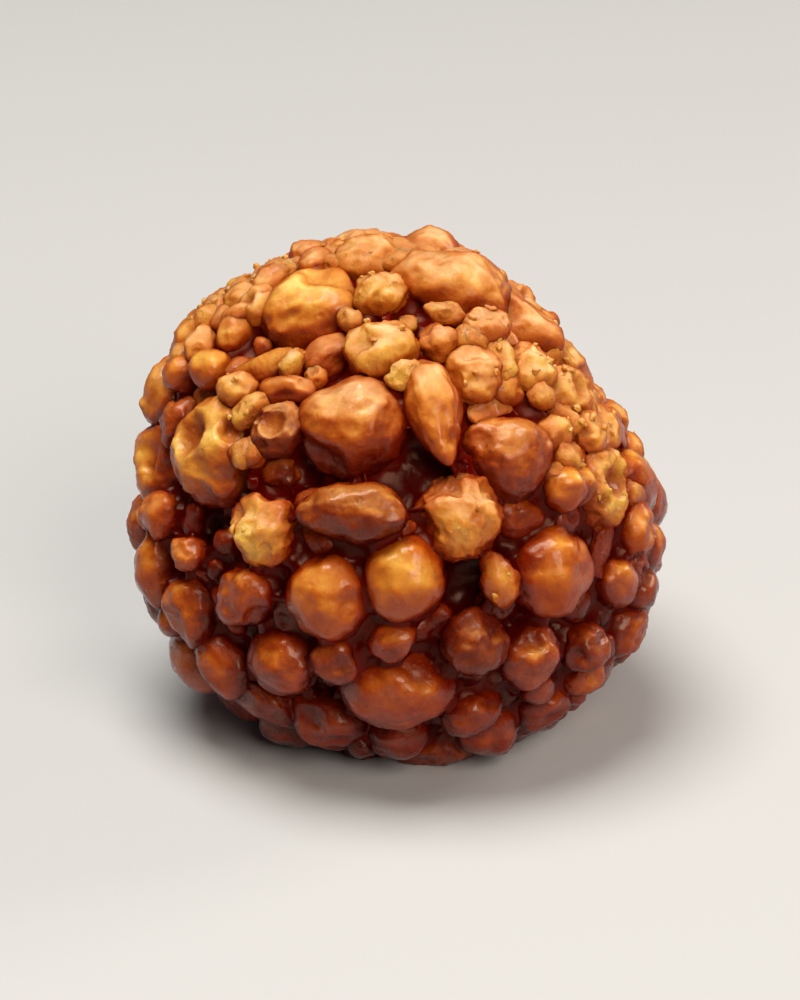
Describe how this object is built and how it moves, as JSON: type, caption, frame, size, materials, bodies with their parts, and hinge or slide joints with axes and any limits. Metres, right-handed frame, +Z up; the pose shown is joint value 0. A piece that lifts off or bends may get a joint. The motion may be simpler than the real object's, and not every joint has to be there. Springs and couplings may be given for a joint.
{
  "type": "boondi ladoo",
  "caption": "Round sweet of fried gram-flour drops bound in jaggery syrup and pressed by hand into a ball, with a small flat spot to rest on.",
  "frame": {"origin": "middle of the small flat spot that the ball rests on", "axes": "+Z up out of the flat spot; -Y is the side whose drops are placed one by one; X runs across it"},
  "size_m": [0.046, 0.0456, 0.0425],
  "materials": {
    "boondi_syrup": "glossy syrup over fried drops, golden on top and dark red-brown in the gaps"
  },
  "bodies": {
    "root": {"ladoo": "boondi_syrup"}
  },
  "joints": []
}
